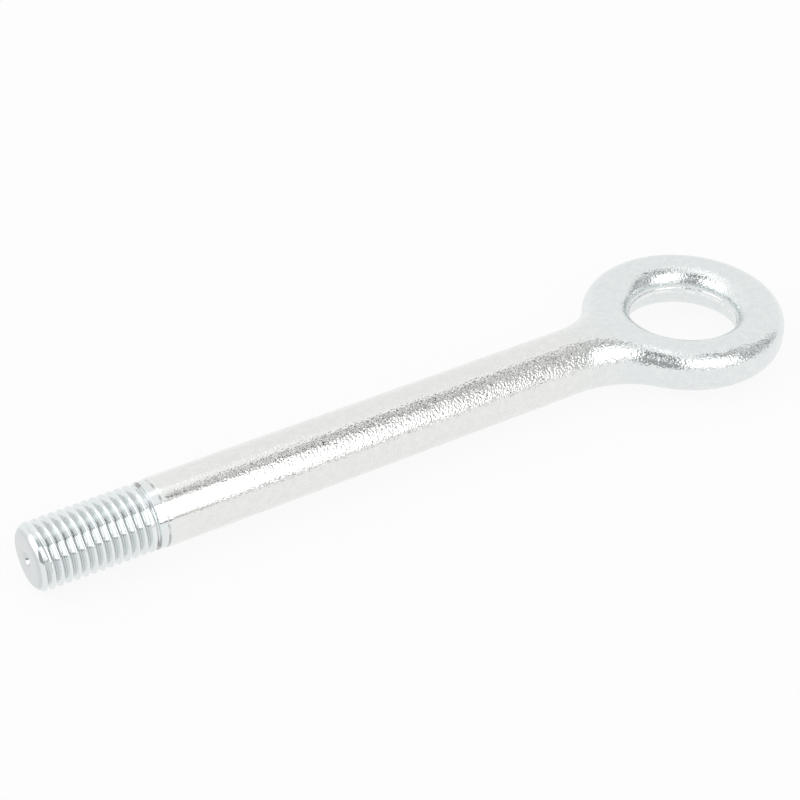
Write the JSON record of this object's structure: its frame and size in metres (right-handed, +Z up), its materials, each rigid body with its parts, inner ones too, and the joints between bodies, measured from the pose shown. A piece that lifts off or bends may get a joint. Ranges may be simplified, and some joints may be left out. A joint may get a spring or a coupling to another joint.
{
  "type": "tow eye",
  "caption": "Screw-in forged steel tow eye: a rounded ring on a long round shank with a threaded end, lying flat.",
  "frame": {"origin": "on the floor, under the middle of the whole length", "axes": "+X along the shank from the threaded tip to the eye, +Y across the eye, +Z up along the axis of the eye's hole"},
  "size_m": [0.2062, 0.0514, 0.0164],
  "materials": {
    "zinc_steel": "bright zinc plate over a forged and shot-blasted surface"
  },
  "bodies": {
    "root": {"tow_eye": "zinc_steel"}
  },
  "joints": []
}
